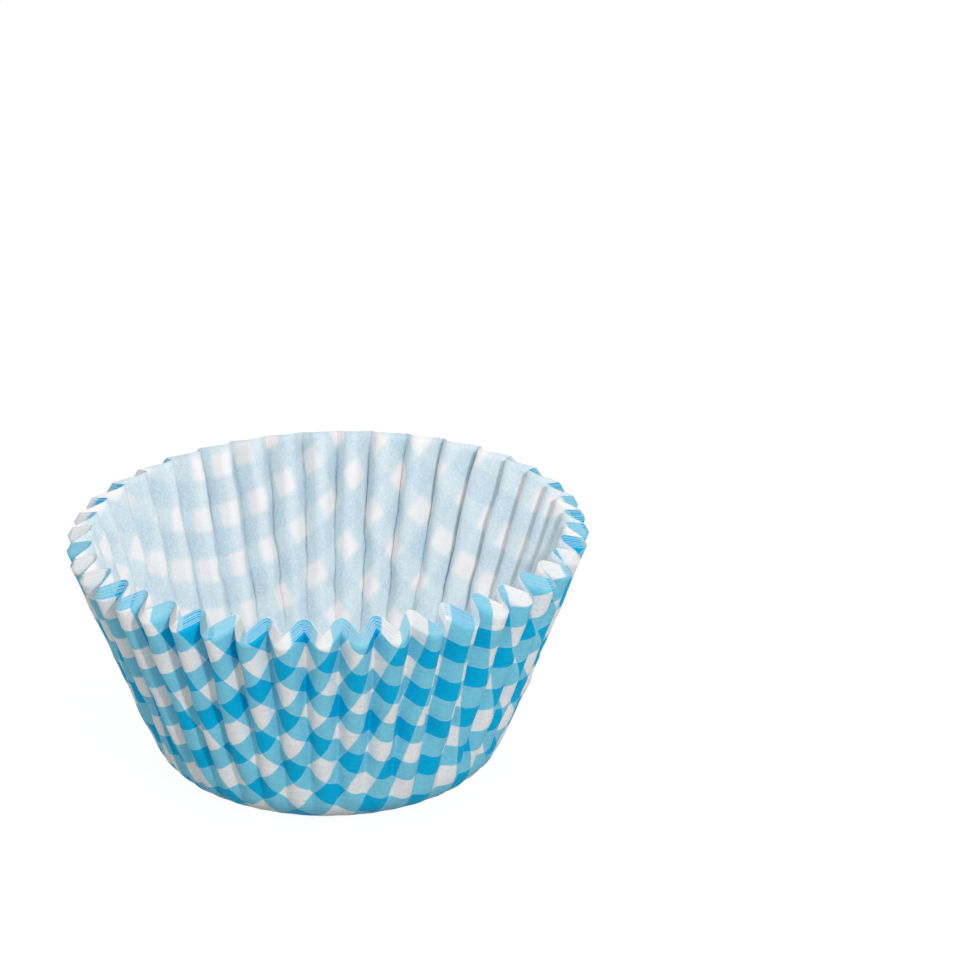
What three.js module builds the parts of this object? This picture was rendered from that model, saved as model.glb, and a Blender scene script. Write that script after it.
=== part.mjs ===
// A nest of fluted paper baking cases, pressed together from one stack of round sheets.
// The sheets lie tight against each other everywhere, so the nest is one body: a flat round
// base, a corner that turns up, and a wall folded into flutes because the flat sheet has more
// edge than the rim of the cup has room for. Millimetres, +Z up, origin under the middle.

import * as THREE from "three";

// Driving dimensions.
const fluteCount = 42;
const baseFlatDiameter = 37.3; // flat part of the base, where the corner starts to turn
const cornerRadius = 6.5; // turn from base to wall, at the middle of the nest
const wallLean = THREE.MathUtils.degToRad(19.5); // from upright, between the folds
const wallSlant = 34; // straight wall above the corner, innermost sheet at an inward fold
const nestThickness = 1.3; // all the sheets together, pressed
const creaseRadius = 0.05; // bend of the sheet on the hollow side of a fold

// The sheets are all cut to one size, and the outer ones travel farther round the corner, so
// their cut edges step down across the nest.
const edgeSlopeAtInwardFold = THREE.MathUtils.degToRad(43);
const edgeSlopeAtOutwardFold = THREE.MathUtils.degToRad(38);
const outwardFoldDrop = 0.2; // an outward fold ends this much lower than its neighbours

// The press does not gather the sheet quite evenly: the folds wander round the cup in a few
// slow waves, sizes and phases in degrees, and the soft rim is pulled a little out of round.
const firstFold = THREE.MathUtils.degToRad(93.7);
const foldWander = [
  { waves: 1, size: 0.8, phase: -179 },
  { waves: 2, size: 1.5, phase: -130 },
  { waves: 3, size: 1, phase: 63 },
  { waves: 4, size: 0.8, phase: 106 },
];
const ovalSwell = 1.3; // the rim reaches this much farther out along the swell, and less across it
const swellDirection = THREE.MathUtils.degToRad(32);

// Fineness of the facets.
const cornerSteps = 5;
const wallSteps = 6;
const bendSteps = 2;
const slopeHalvings = 30;

// Sizes that follow from the ones above.
const halfNest = nestThickness / 2;
const foldRadius = halfNest + creaseRadius; // bend of a fold, at the middle of the nest
const baseFlatRadius = baseFlatDiameter / 2;
const cornerTurn = Math.PI / 2 - wallLean;
const cornerTravel = cornerRadius * cornerTurn;
const rimTravel = cornerTravel + wallSlant;

// Angle of each inward fold round the cup.
function foldAngle(number) {
  const even = (2 * Math.PI * number) / fluteCount;
  const { degToRad } = THREE.MathUtils;
  const shifts = foldWander.map(
    ({ waves, size, phase }) => degToRad(size) * Math.cos(waves * even + degToRad(phase)),
  );
  return shifts.reduce((angle, shift) => angle + shift, firstFold + even);
}

// Middle of the wall, a travel along the sheet from where the corner starts, and the way the
// outside faces there.
function wallPoint(travel) {
  const turn = Math.min(travel / cornerRadius, cornerTurn);
  const straight = Math.max(travel - cornerTravel, 0);
  return {
    radius: baseFlatRadius + cornerRadius * Math.sin(turn) + straight * Math.cos(turn),
    height: halfNest + cornerRadius * (1 - Math.cos(turn)) + straight * Math.sin(turn),
    faceOut: Math.sin(turn),
    faceUp: -Math.cos(turn),
  };
}

// Slope of a flute's flanks. The flutes take up all the edge that the flat sheet has there:
// half a flute is a straight flank with a bend at each end, and the steeper the flank, the
// more sheet it takes. The slope is found by halving the range it must lie in.
function flankSlope(halfPitch, halfSheet) {
  let low = 0;
  let high = Math.asin(Math.min(halfPitch / (2 * foldRadius), 1));
  for (let halving = 0; halving < slopeHalvings; halving++) {
    const slope = (low + high) / 2;
    const taken = halfPitch / Math.cos(slope) - 2 * foldRadius * (Math.tan(slope) - slope);
    if (taken < halfSheet) low = slope;
    else high = slope;
  }
  return low;
}

// One skin of half a flute, from the inward fold to the outward one. The folds are arcs joined
// by a straight flank. The skin on the round side of a fold gets points along the arc, and
// the skin on its hollow side is a crease. side is 1 for the outside and -1 for the inside.
function halfFlute(halfPitch, slope, side) {
  const depth = halfPitch * Math.tan(slope);
  const centre = depth / 2 - foldRadius / Math.cos(slope);
  const round = foldRadius + halfNest;
  const points = [];
  for (let step = 0; step <= bendSteps; step++) {
    const bend = (slope * step) / bendSteps;
    points.push({ across: round * Math.sin(bend), out: centre + round * Math.cos(bend) });
  }
  points.push({ across: halfPitch, out: -centre - creaseRadius });
  if (side < 0) return points.map(({ across, out }) => ({ across, out: -out }));
  return points.map(({ across, out }) => ({ across: halfPitch - across, out })).reverse();
}

// How far up its own sheet a point of the rim stands, below the highest edge.
function rimDrop(side, towardOutwardFold) {
  const inwardEdge = side > 0 ? nestThickness * Math.tan(edgeSlopeAtInwardFold) : 0;
  const outwardEdge = side > 0 ? nestThickness * Math.tan(edgeSlopeAtOutwardFold) : 0;
  return THREE.MathUtils.lerp(inwardEdge, outwardFoldDrop + outwardEdge, towardOutwardFold);
}

// One ring of a skin: every flute's two halves, the second half mirrored.
function ring(side, cornerShare, wallShare) {
  const points = [];
  for (let flute = 0; flute < fluteCount; flute++) {
    const start = foldAngle(flute);
    const end = foldAngle(flute + 1);
    const halfAngle = (end - start) / 2;
    const half = bendSteps + 2;
    for (let index = 0; index < 2 * half - 2; index++) {
      const rising = index < half;
      const place = rising ? index : 2 * half - 2 - index;
      points.push(skinPoint(side, cornerShare, wallShare, start, end, halfAngle, rising, place));
    }
  }
  return points;
}

function skinPoint(side, cornerShare, wallShare, start, end, halfAngle, rising, place) {
  const settle = (travel) => {
    const wall = wallPoint(travel);
    const halfPitch = wall.radius * halfAngle;
    const slope = flankSlope(halfPitch, (baseFlatRadius + travel) * halfAngle);
    const spot = halfFlute(halfPitch, slope, side)[place];
    return { wall, spot, share: spot.across / halfPitch };
  };
  const wallTravel = wallSlant - rimDrop(side, settle(rimTravel).share);
  const travel = cornerTravel * cornerShare + wallTravel * wallShare;
  const { wall, spot, share } = settle(travel);
  const angle = rising ? start + share * halfAngle : end - share * halfAngle;
  const swell = (ovalSwell * travel * Math.cos(2 * (angle - swellDirection))) / rimTravel;
  const reach = wall.radius + spot.out * wall.faceOut + swell;
  const point = new THREE.Vector3(reach * Math.cos(angle), reach * Math.sin(angle), 0);
  point.z = wall.height + spot.out * wall.faceUp;
  return { point, angle };
}

// Rings of one skin, from where the corner starts up to the rim.
function skinRings(side) {
  const rings = [];
  for (let step = 0; step <= cornerSteps; step++) rings.push(ring(side, step / cornerSteps, 0));
  for (let step = 1; step <= wallSteps; step++) rings.push(ring(side, 1, step / wallSteps));
  return rings;
}

// The nest as one closed mesh: outer skin, inner skin, the flat base under and over, and the
// band of cut edges that joins the skins at the rim.
function nestGeometry() {
  const positions = [];
  const triangles = [];
  const addPoint = (point) => positions.push(...point.toArray()) / 3 - 1;
  const addTriangle = (a, b, c, outward) => triangles.push(...(outward ? [a, b, c] : [a, c, b]));

  const addSkin = (side) => {
    const outward = side > 0;
    const rings = skinRings(side).map((points) =>
      points.map(({ point, angle }) => ({ index: addPoint(point), angle })),
    );
    const count = rings[0].length;
    const middle = addPoint(new THREE.Vector3(0, 0, halfNest - side * halfNest));
    for (let place = 0; place < count; place++) {
      const next = (place + 1) % count;
      addTriangle(middle, rings[0][next].index, rings[0][place].index, outward);
      for (let level = 0; level + 1 < rings.length; level++) {
        const low = rings[level];
        const high = rings[level + 1];
        addTriangle(low[place].index, low[next].index, high[next].index, outward);
        addTriangle(low[place].index, high[next].index, high[place].index, outward);
      }
    }
    return rings[rings.length - 1];
  };

  // The skins have their points at other angles, so the band steps along whichever is behind.
  const addRim = (outer, inner) => {
    const angleAt = (edge, place) =>
      edge[place % edge.length].angle + (place < edge.length ? 0 : 2 * Math.PI);
    let out = 0;
    let within = 0;
    while (out < outer.length || within < inner.length) {
      const outerNow = outer[out % outer.length].index;
      const innerNow = inner[within % inner.length].index;
      const outerBehind = angleAt(outer, out + 1) <= angleAt(inner, within + 1);
      if (within === inner.length || (out < outer.length && outerBehind)) {
        addTriangle(outerNow, outer[(out + 1) % outer.length].index, innerNow, true);
        out += 1;
      } else {
        addTriangle(outerNow, inner[(within + 1) % inner.length].index, innerNow, true);
        within += 1;
      }
    }
  };

  addRim(addSkin(1), addSkin(-1));
  const geometry = new THREE.BufferGeometry();
  geometry.setAttribute("position", new THREE.Float32BufferAttribute(positions, 3));
  geometry.setIndex(triangles);
  geometry.computeVertexNormals();
  return geometry;
}

// Greaseproof paper, pale blue where the print shows through.
const paper = new THREE.MeshStandardMaterial({ color: 0x8fc3dd, roughness: 0.75, metalness: 0 });

const paperLiner = new THREE.Mesh(nestGeometry(), paper);
paperLiner.name = "paper_liner";

const liner = new THREE.Group();
liner.add(paperLiner);

export default liner;
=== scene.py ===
import math

import bpy
import numpy as np
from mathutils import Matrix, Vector


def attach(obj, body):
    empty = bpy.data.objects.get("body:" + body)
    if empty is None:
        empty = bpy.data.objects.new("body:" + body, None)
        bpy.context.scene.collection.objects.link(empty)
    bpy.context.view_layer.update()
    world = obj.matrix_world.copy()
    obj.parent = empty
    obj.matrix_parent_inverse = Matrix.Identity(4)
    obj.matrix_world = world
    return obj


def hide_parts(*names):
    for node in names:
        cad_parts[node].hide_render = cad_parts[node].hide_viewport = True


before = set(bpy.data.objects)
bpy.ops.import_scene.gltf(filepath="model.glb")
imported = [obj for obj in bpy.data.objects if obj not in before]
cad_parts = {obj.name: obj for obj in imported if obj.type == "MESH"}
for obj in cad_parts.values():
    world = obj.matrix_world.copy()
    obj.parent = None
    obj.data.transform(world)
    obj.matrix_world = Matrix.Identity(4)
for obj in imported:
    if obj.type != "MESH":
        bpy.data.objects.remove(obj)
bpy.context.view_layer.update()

# The pressed nest of sheets
# A stack of round greaseproof sheets, all cut to one size, is pressed in a fluted die into one
# tight cup, so that single sheets show only at the rim. Sizes here are in millimetres, and
# travel is measured along the sheet from the edge of the flat base.
mm = 0.001
flute_count = 42
base_flat_radius = 18.65
corner_radius = 6.5
wall_lean = math.radians(19.5)
wall_slant = 34.0
nest_thickness = 1.3
crease_radius_at_rim = 0.05
crease_radius_at_base = 0.60

half_nest = nest_thickness / 2
corner_turn = math.pi / 2 - wall_lean
corner_travel = corner_radius * corner_turn
full_travel = corner_travel + wall_slant
sheet_radius = base_flat_radius + full_travel
whole_turn = 2 * math.pi

# The cup has gone a little oval, and its folds wander from even places. Each wave of that has
# how often it goes round the cup, its size and its phase, both in degrees.
oval_swell = 1.3
swell_direction = math.radians(32)
first_fold = math.radians(93.7)
fold_wander = [(1, 0.8, -179), (2, 1.5, -130), (3, 1.0, 63), (4, 0.8, 106)]

# A shallow first crease lies across the edge of the flat base. The flutes grow out of it.
first_crease_depth = 0.10
first_crease_reach = 5.0
flutes_start = 1.0
flutes_whole = 8.0

# Narrow slits run down the folds of the innermost sheet, and stop short of its cut edge.
slit_depth = 0.242
slit_stops_below_edge = (1.2, 1.7)

# Chance differences in the paper. Each has its size, how many cells it has round the cup and
# up it, and a seed of its own.
sheets_seen = 8
uneven_flute_depth = (0.08, flute_count, 2, 11)
uneven_slit_depth = (0.22, flute_count, 5, 16)
fold_sway = (math.radians(0.5), flute_count, 9, 12)
inside_crumples = (math.radians(0.45), 2 * flute_count, 22, 15)
small_buckles = (0.10, 130, 24, 13)
broad_buckles = (0.16, 60, 9, 14)
uneven_cut = (0.09, 37, sheets_seen, 21)

# Where these come and go, as shares of the way from the flat base to the rim.
slits_come = (7 / 30, 17 / 30)
fold_sway_comes = (0, 1 / 4)
crumples_come = (1 / 8, 3 / 8)
crumples_go = (7 / 13, 12 / 13)
small_buckles_come = (1 / 10, 7 / 20)
small_buckles_go = (1 / 2, 11 / 12)
small_buckles_left_at_rim = 0.15
broad_buckles_come = (0, 1 / 3)


def share_past(place, start, whole):
    """0 before start, 1 past whole, and an even rise between them."""
    return np.clip((place - start) / (whole - start), 0, 1)


def chance(turn, rise, size, cells_round, cells_up, seed):
    """Smooth chance differences of up to a size, both ways, the same whenever it is asked."""
    lattice = np.random.default_rng(seed).uniform(-1, 1, (cells_up + 2, cells_round))
    column = (turn % 1.0) * cells_round
    row = np.clip(rise, 0, 1) * cells_up
    left = np.floor(column).astype(int)
    low = np.floor(row).astype(int)
    across = column - left
    up = row - low
    across = across * across * (3 - 2 * across)
    up = up * up * (3 - 2 * up)
    right = (left + 1) % cells_round
    left = left % cells_round
    bottom = lattice[low, left] * (1 - across) + lattice[low, right] * across
    top = lattice[low + 1, left] * (1 - across) + lattice[low + 1, right] * across
    return size * (bottom * (1 - up) + top * up)


def fold_angle(number):
    """Angle of an inward fold round the cup."""
    even = whole_turn * number / flute_count
    wander = 0
    for waves, size, phase in fold_wander:
        wander = wander + size * np.cos(waves * even + math.radians(phase))
    return first_fold + even + np.radians(wander)


def wall_point(travel):
    """Radius and height of the middle of the nest, and how far it faces out and up."""
    turn = np.clip(travel / corner_radius, 0, corner_turn)
    straight = np.maximum(travel - corner_travel, 0)
    flat = np.minimum(travel, 0)
    radius = base_flat_radius + flat + corner_radius * np.sin(turn) + straight * np.cos(turn)
    height = half_nest + corner_radius * (1 - np.cos(turn)) + straight * np.sin(turn)
    return radius, height, np.sin(turn), -np.cos(turn)


def bend_radius(travel, layer_share):
    """Radius of a bend in the middle of the nest. The outer folds get rounder downwards."""
    rounder = layer_share * (1 - np.clip(travel / full_travel, 0, 1))
    crease_radius = crease_radius_at_rim + (crease_radius_at_base - crease_radius_at_rim) * rounder
    return half_nest + crease_radius


def flank_slope(half_pitch, half_sheet, fold_radius):
    """Slope at which a flank and its two half bends take up all the flat sheet's edge."""
    halvings = 24
    low = np.zeros_like(half_pitch)
    high = np.arcsin(np.minimum(half_pitch / (2 * fold_radius), 1))
    for _ in range(halvings):
        slope = (low + high) / 2
        taken = half_pitch / np.cos(slope) - 2 * fold_radius * (np.tan(slope) - slope)
        low = np.where(taken < half_sheet, slope, low)
        high = np.where(taken < half_sheet, high, slope)
    return low


def half_flute(half_pitch, depth, layer, station, fold_radius):
    """Place across and out of the wall, and share of the sheet, at a station of half a flute.

    Stations 0 to 1 lie on the inward bend, 1 to 2 on the flank, and 2 to 3 on the outward
    bend. layer is the distance out from the middle of the nest.
    """
    slope = np.arctan2(depth, half_pitch)
    least_flank = 0.15
    roundest = (1 - least_flank) * np.hypot(half_pitch, depth) / (2 * np.tan(slope))
    fold_radius = np.minimum(fold_radius, roundest)
    centre = depth / 2 - fold_radius / np.cos(slope)
    inward_bend = np.maximum(fold_radius - layer, crease_radius_at_rim)
    outward_bend = np.maximum(fold_radius + layer, crease_radius_at_rim)
    flank = np.hypot(half_pitch, depth) - 2 * fold_radius * np.tan(slope)
    total = flank + (inward_bend + outward_bend) * slope
    least_share = 0.03
    inward_share = np.maximum(inward_bend * slope / total, least_share)
    outward_share = np.maximum(outward_bend * slope / total, least_share)
    on_flank = inward_share + (station - 1) * (1 - outward_share - inward_share)
    share = np.where(station <= 1, station * inward_share, on_flank)
    share = np.where(station > 2, 1 - (3 - station) * outward_share, share)
    length = share * total
    turned = np.clip(length / inward_bend, 0, slope)
    along = np.clip(length - inward_bend * slope, 0, flank)
    across = inward_bend * np.sin(turned) + along * np.cos(slope)
    out = -centre - inward_bend * np.cos(turned) + along * np.sin(slope)
    left_to_turn = (total - length) / outward_bend
    on_outward = left_to_turn < slope
    across = np.where(on_outward, half_pitch - outward_bend * np.sin(left_to_turn), across)
    out = np.where(on_outward, centre + outward_bend * np.cos(left_to_turn), out)
    return across, out, share


inward_bend_stations = [0, 0.35, 0.7, 1]
flank_stations = [1.35, 1.7]
outward_bend_stations = [2, 2.25, 2.5, 2.75, 3]
half_stations = inward_bend_stations + flank_stations + outward_bend_stations
flute_stations = half_stations + half_stations[-2:0:-1]
stations = np.tile(flute_stations, flute_count)
flutes = np.repeat(np.arange(flute_count), len(flute_stations))
rising = np.tile(np.arange(len(flute_stations)) < len(half_stations), flute_count)
fold_before = fold_angle(flutes)
fold_after = fold_angle(flutes + 1)
half_angles = (fold_after - fold_before) / 2
flute_turn = fold_before / whole_turn


def sheet_points(layer_share, travel):
    """Points of one level of a layer, and the angle of each on the flat sheet.

    layer_share is 0 on the inside of the nest and 1 on its outside.
    """
    layer = (layer_share - 0.5) * nest_thickness
    radius, height, face_out, face_up = wall_point(travel)
    rise = np.clip(travel / full_travel, 0, 1)
    half_pitch = radius * half_angles
    half_sheet = (base_flat_radius + travel) * half_angles
    fold_radius = bend_radius(travel, layer_share)
    slope = flank_slope(half_pitch, half_sheet, fold_radius)
    depth = half_pitch * np.tan(slope) * (1 + chance(flute_turn, rise, *uneven_flute_depth))
    depth = depth * share_past(travel, flutes_start, flutes_whole)
    first_crease = first_crease_depth * share_past(travel, -first_crease_reach, 0)
    first_crease = first_crease * (1 - share_past(travel, 0, first_crease_reach))
    depth = np.maximum(depth, first_crease)
    across, out, share = half_flute(half_pitch, depth, layer, stations, fold_radius)
    out = out - first_crease / 2
    if layer_share == 0:
        slit = slit_depth + chance(flute_turn, rise, *uneven_slit_depth)
        slit = slit * share_past(full_travel - travel, *slit_stops_below_edge)
        slit = slit * share_past(rise, *slits_come)
        out = out + slit * share_past(stations, 2, 3)
    lean = across / radius
    angle = np.where(rising, fold_before + lean, fold_after - lean)
    turn = angle / whole_turn
    angle = angle + chance(turn, rise, *fold_sway) * share_past(rise, *fold_sway_comes)
    if layer_share == 0:
        crumpled = share_past(rise, *crumples_come) * (1 - share_past(rise, *crumples_go))
        angle = angle + chance(turn, rise, *inside_crumples) * crumpled
    buckled = np.maximum(1 - share_past(rise, *small_buckles_go), small_buckles_left_at_rim)
    buckled = buckled * share_past(rise, *small_buckles_come)
    out = out + chance(turn, rise, *small_buckles) * buckled
    out = out + chance(turn, rise, *broad_buckles) * share_past(rise, *broad_buckles_come)
    reach = radius + out * face_out + rise * oval_swell * np.cos(2 * (angle - swell_direction))
    points = np.stack([reach * np.cos(angle), reach * np.sin(angle), height + out * face_up], -1)
    sheet_lean = share * half_angles
    flat_angle = np.where(rising, fold_before + sheet_lean, fold_after - sheet_lean)
    return points, flat_angle


# The cut edges of the nest make a sloping band at the rim, steeper at the inward folds.
edge_slope_at_inward_fold = math.radians(43)
edge_slope_at_outward_fold = math.radians(38)
outward_fold_drop = 0.2


def rim_drop(layer_share):
    """How far along the sheet the rim of a layer stands below the highest edge."""
    half_pitch = wall_point(np.array(full_travel))[0] * half_angles
    fold_radius = bend_radius(full_travel, layer_share)
    depth = half_pitch * np.tan(flank_slope(half_pitch, sheet_radius * half_angles, fold_radius))
    layer = (layer_share - 0.5) * nest_thickness
    toward_outward = half_flute(half_pitch, depth, layer, stations, fold_radius)[0] / half_pitch
    depth_in_nest = layer_share * nest_thickness
    at_inward = depth_in_nest * math.tan(edge_slope_at_inward_fold)
    at_outward = outward_fold_drop + depth_in_nest * math.tan(edge_slope_at_outward_fold)
    return at_inward + (at_outward - at_inward) * toward_outward


levels_on_base = [-5.0, -3.5, -2.0, -0.8]
levels_in_corner = 10
levels_up_wall = 32
cut_edge_print_step = 0.15

rows = []
row_flat = []
row_kind = []


def add_row(layer_share, travel, sheet_travel, kind):
    """One closed loop of points. kind names the finish of the strip that starts there."""
    points, flat_angle = sheet_points(layer_share, travel)
    flat = base_flat_radius + sheet_travel
    rows.append(points)
    row_flat.append(np.stack([flat * np.cos(flat_angle), flat * np.sin(flat_angle)], -1))
    row_kind.append(kind)


def skin_levels(edge):
    """Travels of one skin from the flat base up to its own edge, and the same on the sheet."""
    none = np.zeros(len(stations))
    levels = [(level + none, level + none) for level in levels_on_base]
    for step in range(levels_in_corner + 1):
        level = corner_travel * step / levels_in_corner + none
        levels.append((level, level))
    for step in range(1, levels_up_wall + 1):
        share = step / levels_up_wall
        levels.append((corner_travel + share * edge, corner_travel + share * wall_slant))
    return levels


edge_of = []
for sheet in range(sheets_seen):
    edge = wall_slant - rim_drop(sheet / (sheets_seen - 1))
    if 0 < sheet < sheets_seen - 1:
        sheet_place = np.full(len(stations), sheet / sheets_seen)
        edge = edge + chance(flute_turn, sheet_place, *uneven_cut)
    edge_of.append(edge)

for travel, sheet_travel in skin_levels(edge_of[0]):
    add_row(0.0, travel, sheet_travel, "inside")
row_kind[-1] = "cut edge"
inner_rows = len(rows)
for sheet in range(sheets_seen - 1):
    outer_share = (sheet + 1) / sheets_seen
    own_edge = corner_travel + edge_of[sheet]
    next_edge = corner_travel + edge_of[sheet + 1]
    add_row(outer_share, own_edge, full_travel, "printed")
    add_row(outer_share, next_edge, full_travel - cut_edge_print_step, "cut edge")
for travel, sheet_travel in reversed(skin_levels(edge_of[-1])):
    add_row(1.0, travel, sheet_travel, "printed")

columns = len(stations)
vertices = np.concatenate(rows) * mm
flat_places = np.concatenate(row_flat)
finish_index = {"printed": 0, "inside": 1, "cut edge": 2}
faces = []
finishes = []
for row in range(len(rows) - 1):
    this_row = row * columns
    next_row = this_row + columns
    for column in range(columns):
        after = (column + 1) % columns
        faces.append((this_row + column, next_row + column, next_row + after, this_row + after))
        finishes.append(finish_index[row_kind[row]])
last_row = (len(rows) - 1) * columns
faces.append(tuple(range(columns)))
finishes.append(finish_index["inside"])
faces.append(tuple(last_row + column for column in reversed(range(columns))))
finishes.append(finish_index["printed"])

nest_mesh = bpy.data.meshes.new("pressed_nest")
nest_mesh.from_pydata(vertices.tolist(), [], faces)
nest_mesh.update()
nest_mesh.polygons.foreach_set("material_index", finishes)
smooth = [True] * len(faces)
nest_mesh.polygons.foreach_set("use_smooth", smooth)


# The gingham runs square over the flat sheet, turned and shifted as it happened to be cut.
def gingham_place(flat, turned, repeat, shift):
    """Repeats of the two stripes at each place of a sheet, one stripe along each axis."""
    along = flat[:, 0] * math.cos(turned) + flat[:, 1] * math.sin(turned)
    cross = flat[:, 1] * math.cos(turned) - flat[:, 0] * math.sin(turned)
    return np.stack([along, cross], -1) / repeat + np.array(shift)


outer_turned = math.radians(33.58)
outer_repeat = 7.73
outer_shift = (0.275, 0.327)
inner_turned = math.radians(31.93)
inner_repeat = 7.68
inner_shift = (0.335, 0.235)

outer_print = gingham_place(flat_places, outer_turned, outer_repeat, outer_shift)
inner_print = gingham_place(flat_places, inner_turned, inner_repeat, inner_shift)
flat_map = nest_mesh.uv_layers.new(name="flat_sheet")
corner_vertices = np.empty(len(nest_mesh.loops), dtype=np.int64)
nest_mesh.loops.foreach_get("vertex_index", corner_vertices)
innermost = corner_vertices < inner_rows * columns
print_places = np.where(innermost[:, None], inner_print[corner_vertices], outer_print[corner_vertices])
flat_map.uv.foreach_set("vector", print_places.astype(np.float32).ravel())

nest = bpy.data.objects.new("pressed_nest", nest_mesh)
bpy.context.collection.objects.link(nest)

# Two sets of blue stripes are printed on white paper, and the ink is stronger where they cross.
# The inside is bare paper with the print showing through it, and a cut edge is white paper.
print_edge_waves = 14.0
print_edge_waver = 0.03
ink_edge_width = 0.13
noise_middle = 0.5


def new_material(name):
    material = bpy.data.materials.new(name)
    material.use_nodes = True
    material.node_tree.nodes.clear()
    return material, material.node_tree


def node(tree, kind, **inputs):
    made = tree.nodes.new(kind)
    for key, value in inputs.items():
        made.inputs[key.replace("_", " ")].default_value = value
    return made


def math_node(tree, operation, first, second=None, clamp=False):
    made = tree.nodes.new("ShaderNodeMath")
    made.operation = operation
    made.use_clamp = clamp
    for slot, value in enumerate((first, second)):
        if isinstance(value, (int, float)):
            made.inputs[slot].default_value = value
        elif value is not None:
            tree.links.new(value, made.inputs[slot])
    return made.outputs[0]


def noise(tree, place, scale, detail, roughness=0.5):
    made = node(tree, "ShaderNodeTexNoise", Scale=scale, Detail=detail, Roughness=roughness)
    tree.links.new(place, made.inputs["Vector"])
    return made.outputs["Fac"]


def stripes(tree, softness, spread):
    """How many of the two stripes cover each place, as a share of 2, and how near an edge is."""
    flat = tree.nodes.new("ShaderNodeUVMap")
    flat.uv_map = "flat_sheet"
    parts = tree.nodes.new("ShaderNodeSeparateXYZ")
    tree.links.new(flat.outputs[0], parts.inputs[0])
    waver = noise(tree, flat.outputs[0], scale=print_edge_waves, detail=3.0)
    waver = math_node(tree, "SUBTRACT", waver, noise_middle)
    waver = math_node(tree, "MULTIPLY", waver, print_edge_waver)
    covers = []
    edges = []
    for axis in ("X", "Y"):
        phase = math_node(tree, "ADD", parts.outputs[axis], waver)
        wave = math_node(tree, "SINE", math_node(tree, "MULTIPLY", phase, whole_turn))
        wave = math_node(tree, "ADD", wave, spread)
        edge = math_node(tree, "DIVIDE", wave, softness)
        covers.append(math_node(tree, "ADD", math_node(tree, "MULTIPLY", edge, 0.5), 0.5, clamp=True))
        off_edge = math_node(tree, "ABSOLUTE", math_node(tree, "DIVIDE", wave, ink_edge_width))
        edges.append(math_node(tree, "SUBTRACT", 1.0, off_edge, clamp=True))
    amount = math_node(tree, "MULTIPLY", math_node(tree, "ADD", covers[0], covers[1]), 0.5)
    return amount, math_node(tree, "MAXIMUM", edges[0], edges[1])


def tones(tree, amount, none, one, both):
    """Colours where none, one and both of the stripes lie."""
    ramp = tree.nodes.new("ShaderNodeValToRGB")
    ramp.color_ramp.elements[0].color = (*none, 1)
    ramp.color_ramp.elements[1].color = (*both, 1)
    middle = ramp.color_ramp.elements.new(0.5)
    middle.color = (*one, 1)
    tree.links.new(amount, ramp.inputs[0])
    return ramp.outputs[0]


def shade(tree, colour, amount, low, high, strength=None):
    """Multiplies a colour by a grey between low and high, where strength says how much."""
    span = math_node(tree, "MULTIPLY", amount, high - low)
    grey = math_node(tree, "ADD", span, low)
    mix = tree.nodes.new("ShaderNodeMix")
    mix.data_type = "RGBA"
    mix.blend_type = "MULTIPLY"
    mix.inputs["Factor"].default_value = 1
    if strength is not None:
        tree.links.new(strength, mix.inputs["Factor"])
    tree.links.new(colour, mix.inputs["A"])
    tree.links.new(grey, mix.inputs["B"])
    return mix.outputs["Result"]


paper_gloss = 0.08


def finish_paper(tree, colour, height, roughness, bump_strength, bump_distance):
    """Matt paper of a colour, with a fine relief."""
    shader = node(tree, "ShaderNodeBsdfPrincipled", Roughness=roughness)
    shader.inputs["Specular IOR Level"].default_value = paper_gloss
    bump = node(tree, "ShaderNodeBump", Strength=bump_strength, Distance=bump_distance)
    output = tree.nodes.new("ShaderNodeOutputMaterial")
    tree.links.new(colour, shader.inputs["Base Color"])
    tree.links.new(height, bump.inputs["Height"])
    tree.links.new(bump.outputs[0], shader.inputs["Normal"])
    tree.links.new(shader.outputs[0], output.inputs["Surface"])


# The outside is printed. The ink thins towards the edge of a stripe, and the press has left
# fine level lines round the cup.
paper_white = (0.86, 0.865, 0.87)
one_stripe_ink = (0.205, 0.62, 0.80)
two_stripe_ink = (0.0, 0.44, 0.755)
thin_ink_at_edge = 0.22
press_line_scale = (220, 220, 1900)
press_line_share = 0.7
fibre_share = 0.3

printed, tree = new_material("gingham_print")
place = tree.nodes.new("ShaderNodeTexCoord").outputs["Object"]
amount, ink_edge = stripes(tree, softness=0.07, spread=0.0)
colour = tones(tree, amount, paper_white, one_stripe_ink, two_stripe_ink)
thin_ink = tree.nodes.new("ShaderNodeMix")
thin_ink.data_type = "RGBA"
thin_ink.inputs["B"].default_value = (*paper_white, 1)
tree.links.new(math_node(tree, "MULTIPLY", ink_edge, thin_ink_at_edge), thin_ink.inputs["Factor"])
tree.links.new(colour, thin_ink.inputs["A"])
fibre = noise(tree, place, scale=1800.0, detail=3.0, roughness=0.6)
colour = shade(tree, thin_ink.outputs["Result"], fibre, low=0.84, high=1.16)
pressed = tree.nodes.new("ShaderNodeMapping")
pressed.inputs["Scale"].default_value = press_line_scale
tree.links.new(place, pressed.inputs["Vector"])
press_lines = noise(tree, pressed.outputs[0], scale=1.0, detail=2.0)
press_lines = math_node(tree, "MULTIPLY", press_lines, press_line_share)
relief = math_node(tree, "ADD", press_lines, math_node(tree, "MULTIPLY", fibre, fibre_share))
finish_paper(tree, colour, relief, roughness=0.55, bump_strength=0.6, bump_distance=0.2 * mm)
nest_mesh.materials.append(printed)

# Inside, the print shows through softly and in clouds, and the fibres show most in the blue.
show_through_none = (0.90, 0.865, 0.865)
show_through_one = (0.675, 0.775, 0.815)
show_through_two = (0.61, 0.725, 0.80)
mottled_middle = 1.05
fibre_seen_in_white = 0.15
fibre_seen_in_blue = 1.2

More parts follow.
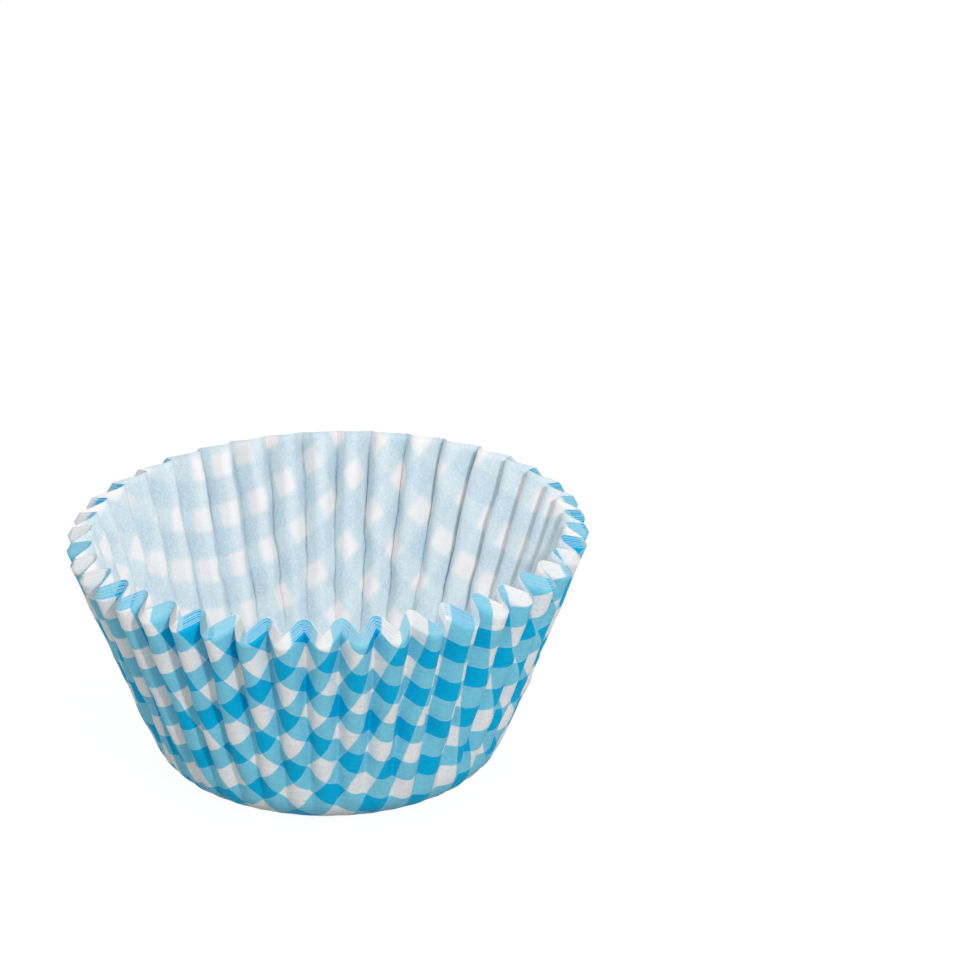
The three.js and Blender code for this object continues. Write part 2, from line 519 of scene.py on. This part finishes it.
inside, tree = new_material("greaseproof_inside")
place = tree.nodes.new("ShaderNodeTexCoord").outputs["Object"]
amount, _ = stripes(tree, softness=0.34, spread=0.10)
cloudy = noise(tree, place, scale=260.0, detail=2.0)
cloudy = math_node(tree, "SUBTRACT", cloudy, noise_middle)
grain = noise(tree, place, scale=2600.0, detail=2.0, roughness=0.7)
grain = math_node(tree, "SUBTRACT", grain, noise_middle)
mottled = math_node(tree, "ADD", math_node(tree, "ADD", cloudy, grain), mottled_middle)
amount = math_node(tree, "MULTIPLY", amount, mottled, clamp=True)
colour = tones(tree, amount, show_through_none, show_through_one, show_through_two)
fibre = noise(tree, place, scale=2600.0, detail=3.0, roughness=0.65)
fibre_seen = math_node(tree, "MULTIPLY", amount, fibre_seen_in_blue)
fibre_seen = math_node(tree, "ADD", fibre_seen, fibre_seen_in_white, clamp=True)
colour = shade(tree, colour, fibre, low=0.72, high=1.30, strength=fibre_seen)
finish_paper(tree, colour, fibre, roughness=0.5, bump_strength=0.5, bump_distance=0.2 * mm)
nest_mesh.materials.append(inside)

# A cut edge shows the paper's white core, with a blue cast where ink was cut through, and both are
# darkened with painted shade.
# Painted shade: both cut edge colours are set darker than the paper to stand in for the shadows
# between the stacked sheet edges.
cut_edge_white_with_painted_shade = (0.76, 0.77, 0.78)
cut_edge_blue_with_painted_shade = (0.38, 0.62, 0.75)

cut_edge, tree = new_material("cut_paper_edge")
place = tree.nodes.new("ShaderNodeTexCoord").outputs["Object"]
amount, _ = stripes(tree, softness=0.10, spread=0.0)
colour = tones(tree, amount, cut_edge_white_with_painted_shade, cut_edge_blue_with_painted_shade, cut_edge_blue_with_painted_shade)
fibre = noise(tree, place, scale=3000.0, detail=2.0)
colour = shade(tree, colour, fibre, low=0.92, high=1.08)
finish_paper(tree, colour, fibre, roughness=0.7, bump_strength=0.2, bump_distance=0.1 * mm)
nest_mesh.materials.append(cut_edge)

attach(nest, "root")
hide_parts("paper_liner")


# Pale floor
# A wide sheet of smooth white board that the liner stands on. It is seen as nearly even white,
# and keeps the liner's soft shadow.
floor_half_width = 3.0
floor_white = (0.35, 0.35, 0.35, 1)
floor_glow = 1.13
seen_glow_share = 0.85

floor_mesh = bpy.data.meshes.new("floor")
floor_directions = [(-1, -1), (1, -1), (1, 1), (-1, 1)]
floor_corners = [(x * floor_half_width, y * floor_half_width, 0) for x, y in floor_directions]
floor_mesh.from_pydata(floor_corners, [], [(0, 1, 2, 3)])
floor = bpy.data.objects.new("floor", floor_mesh)
bpy.context.collection.objects.link(floor)


def seen_directly(tree):
    """1 where a surface is seen by the eye, in gloss or through glass, and 0 where it lights."""
    path = tree.nodes.new("ShaderNodeLightPath")
    seen = math_node(tree, "MAXIMUM", path.outputs["Is Camera Ray"], path.outputs["Is Glossy Ray"])
    return math_node(tree, "MAXIMUM", seen, path.outputs["Is Transmission Ray"])


def mix_into(tree, output, share, plain, seen):
    """Shows plain, with a share of the seen one in its place."""
    mixed = tree.nodes.new("ShaderNodeMixShader")
    tree.links.new(share, mixed.inputs["Fac"])
    tree.links.new(plain.outputs[0], mixed.inputs[1])
    tree.links.new(seen.outputs[0], mixed.inputs[2])
    tree.links.new(mixed.outputs[0], output.inputs["Surface"])


floor_material, tree = new_material("floor_white")
diffuse = node(tree, "ShaderNodeBsdfDiffuse", Color=floor_white)
glow = node(tree, "ShaderNodeEmission", Strength=floor_glow)
glow_share = math_node(tree, "MULTIPLY", seen_directly(tree), seen_glow_share)
output = tree.nodes.new("ShaderNodeOutputMaterial")
mix_into(tree, output, glow_share, diffuse, glow)
floor_mesh.materials.append(floor_material)

# Soft studio light
# An even white surround does most of the lighting. One small round lamp stands in front, to the
# right and above, so it lights the inside and leaves thin shadows beside the folds.
surround_level = 0.84
backdrop_level = 1.0
white = (1, 1, 1, 1)

world = bpy.data.worlds.new("surround")
bpy.context.scene.world = world
world.use_nodes = True
tree = world.node_tree
tree.nodes.clear()
surround = node(tree, "ShaderNodeBackground", Color=white, Strength=surround_level)
backdrop = node(tree, "ShaderNodeBackground", Color=white, Strength=backdrop_level)
output = tree.nodes.new("ShaderNodeOutputWorld")
mix_into(tree, output, seen_directly(tree), surround, backdrop)

key_distance = 1.2
key_azimuth = math.radians(-72)
key_rise = math.radians(36)
key_size = 0.10
key_energy = 5.8

key_level = math.cos(key_rise) * key_distance
key_right = key_level * math.cos(key_azimuth)
key_back = key_level * math.sin(key_azimuth)
key_height = math.sin(key_rise) * key_distance
key_place = Vector((key_right, key_back, key_height))
key_lamp = bpy.data.lights.new("key", "AREA")
key_lamp.shape = "DISK"
key_lamp.size = key_size
key_lamp.energy = key_energy
key = bpy.data.objects.new("key", key_lamp)
key.location = key_place
key.rotation_euler = (-key_place).to_track_quat("-Z", "Y").to_euler()
bpy.context.collection.objects.link(key)

# Camera
# A long lens looks down at the liner, which sits low and left in the square frame.
frame_pixels = 960
pixels_per_mm = 6.8
liner_centre = Vector((0, 0, 17.64 * mm))
liner_centre_pixel = (327.9, 648.3)
camera_distance = 2533 * mm
camera_rise = math.radians(24.7)
sensor_mm = 36.0
far_clip = 20

view_line = Vector((0, math.cos(camera_rise), -math.sin(camera_rise)))
view_up = Vector((0, math.sin(camera_rise), math.cos(camera_rise)))
view_right = Vector((1, 0, 0))
aim_right = (frame_pixels / 2 - liner_centre_pixel[0]) / pixels_per_mm * mm
aim_up = (liner_centre_pixel[1] - frame_pixels / 2) / pixels_per_mm * mm
camera_data = bpy.data.cameras.new("camera")
camera_data.sensor_width = sensor_mm
camera_data.lens = sensor_mm * pixels_per_mm / mm * camera_distance / frame_pixels
camera_data.clip_end = far_clip
camera = bpy.data.objects.new("camera", camera_data)
camera.location = liner_centre - view_line * camera_distance
aim = liner_centre + view_right * aim_right + view_up * aim_up
camera.rotation_euler = (aim - camera.location).to_track_quat("-Z", "Y").to_euler()
bpy.context.collection.objects.link(camera)
bpy.context.scene.camera = camera

bpy.context.scene.view_settings.view_transform = "Standard"
